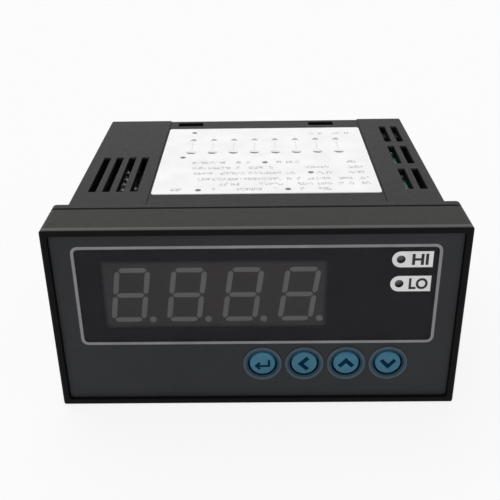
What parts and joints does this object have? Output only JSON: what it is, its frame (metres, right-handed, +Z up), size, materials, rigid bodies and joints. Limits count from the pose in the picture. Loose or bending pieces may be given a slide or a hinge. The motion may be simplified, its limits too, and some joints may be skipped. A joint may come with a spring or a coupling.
{
  "type": "panel temperature indicator",
  "caption": "Panel-mounting temperature indicator: wide bezel with smoked digit display, alarm lamps and round keys, vented box housing and screw terminals at the rear.",
  "frame": {"origin": "centre of the plane where the flange's rear face meets the panel", "axes": "+X to the right seen from the front, +Y into the panel towards the terminals, +Z up"},
  "size_m": [0.096, 0.0832, 0.048],
  "materials": {
    "bezel_abs": "fine moulded grain",
    "housing_abs": "fine moulded grain",
    "overlay_film": "printed satin film",
    "smoked_window": "smoked, glossy",
    "border_print": "printed line",
    "tag_print": "printed white",
    "lamp_epoxy": "diffuse epoxy",
    "key_teal": "satin",
    "key_ring_teal": "satin",
    "switch_plastic": "moulded",
    "plunger_plastic": "moulded",
    "display_plastic": "printed face",
    "segment_plastic": "diffuse",
    "tinned_metal": "tinned",
    "board_green": "solder resist",
    "header_plastic": "moulded",
    "core_steel": "varnished laminations",
    "coil_wire": "taped winding",
    "relay_plastic": "moulded",
    "can_sleeve": "shrink sleeve",
    "chip_plastic": "moulded",
    "crystal_can": "drawn can",
    "terminal_plastic": "moulded",
    "terminal_brass": "stamped",
    "washer_steel": "plated",
    "screw_steel": "plated",
    "label_paper": "printed sticker"
  },
  "bodies": {
    "case": {"front_bezel": "bezel_abs", "rear_housing": "housing_abs", "front_overlay": "overlay_film", "display_window": "smoked_window", "window_border": "border_print", "alarm_tag_high": "tag_print", "alarm_tag_low": "tag_print", "alarm_lamp_high": "lamp_epoxy", "alarm_lamp_low": "lamp_epoxy", "key_rings": "key_ring_teal", "switch_body_set": "switch_plastic", "switch_body_left": "switch_plastic", "switch_body_up": "switch_plastic", "switch_body_down": "switch_plastic", "display_block": "display_plastic", "display_segments": "segment_plastic", "display_pins": "tinned_metal", "display_board": "board_green", "board_screws": "screw_steel", "upper_board": "board_green", "lower_board": "board_green", "upper_header": "header_plastic", "lower_header": "header_plastic", "transformer_core": "core_steel", "transformer_coil": "coil_wire", "alarm_relay_high": "relay_plastic", "alarm_relay_low": "relay_plastic", "smoothing_capacitor": "can_sleeve", "filter_capacitor": "can_sleeve", "bridge_rectifier": "chip_plastic", "voltage_regulator": "chip_plastic", "microcontroller": "chip_plastic", "converter_chip": "chip_plastic", "crystal": "crystal_can", "terminal_base": "terminal_plastic", "terminal_plates": "terminal_brass", "clamp_washers": "washer_steel", "terminal_screws": "screw_steel", "wiring_label": "label_paper"},
    "key_set": {"key_set": "key_teal", "switch_plunger_set": "plunger_plastic"},
    "key_left": {"key_left": "key_teal", "switch_plunger_left": "plunger_plastic"},
    "key_up": {"key_up": "key_teal", "switch_plunger_up": "plunger_plastic"},
    "key_down": {"key_down": "key_teal", "switch_plunger_down": "plunger_plastic"}
  },
  "joints": [
    {"name": "key_set_press", "type": "slide", "parent": "case", "child": "key_set", "axis": [0, 1, 0], "range_m": [0, 0.0004], "stiffness_N_per_m": 4000, "springref_m": -0.0001},
    {"name": "key_left_press", "type": "slide", "parent": "case", "child": "key_left", "axis": [0, 1, 0], "range_m": [0, 0.0004], "stiffness_N_per_m": 4000, "springref_m": -0.0001},
    {"name": "key_up_press", "type": "slide", "parent": "case", "child": "key_up", "axis": [0, 1, 0], "range_m": [0, 0.0004], "stiffness_N_per_m": 4000, "springref_m": -0.0001},
    {"name": "key_down_press", "type": "slide", "parent": "case", "child": "key_down", "axis": [0, 1, 0], "range_m": [0, 0.0004], "stiffness_N_per_m": 4000, "springref_m": -0.0001}
  ]
}
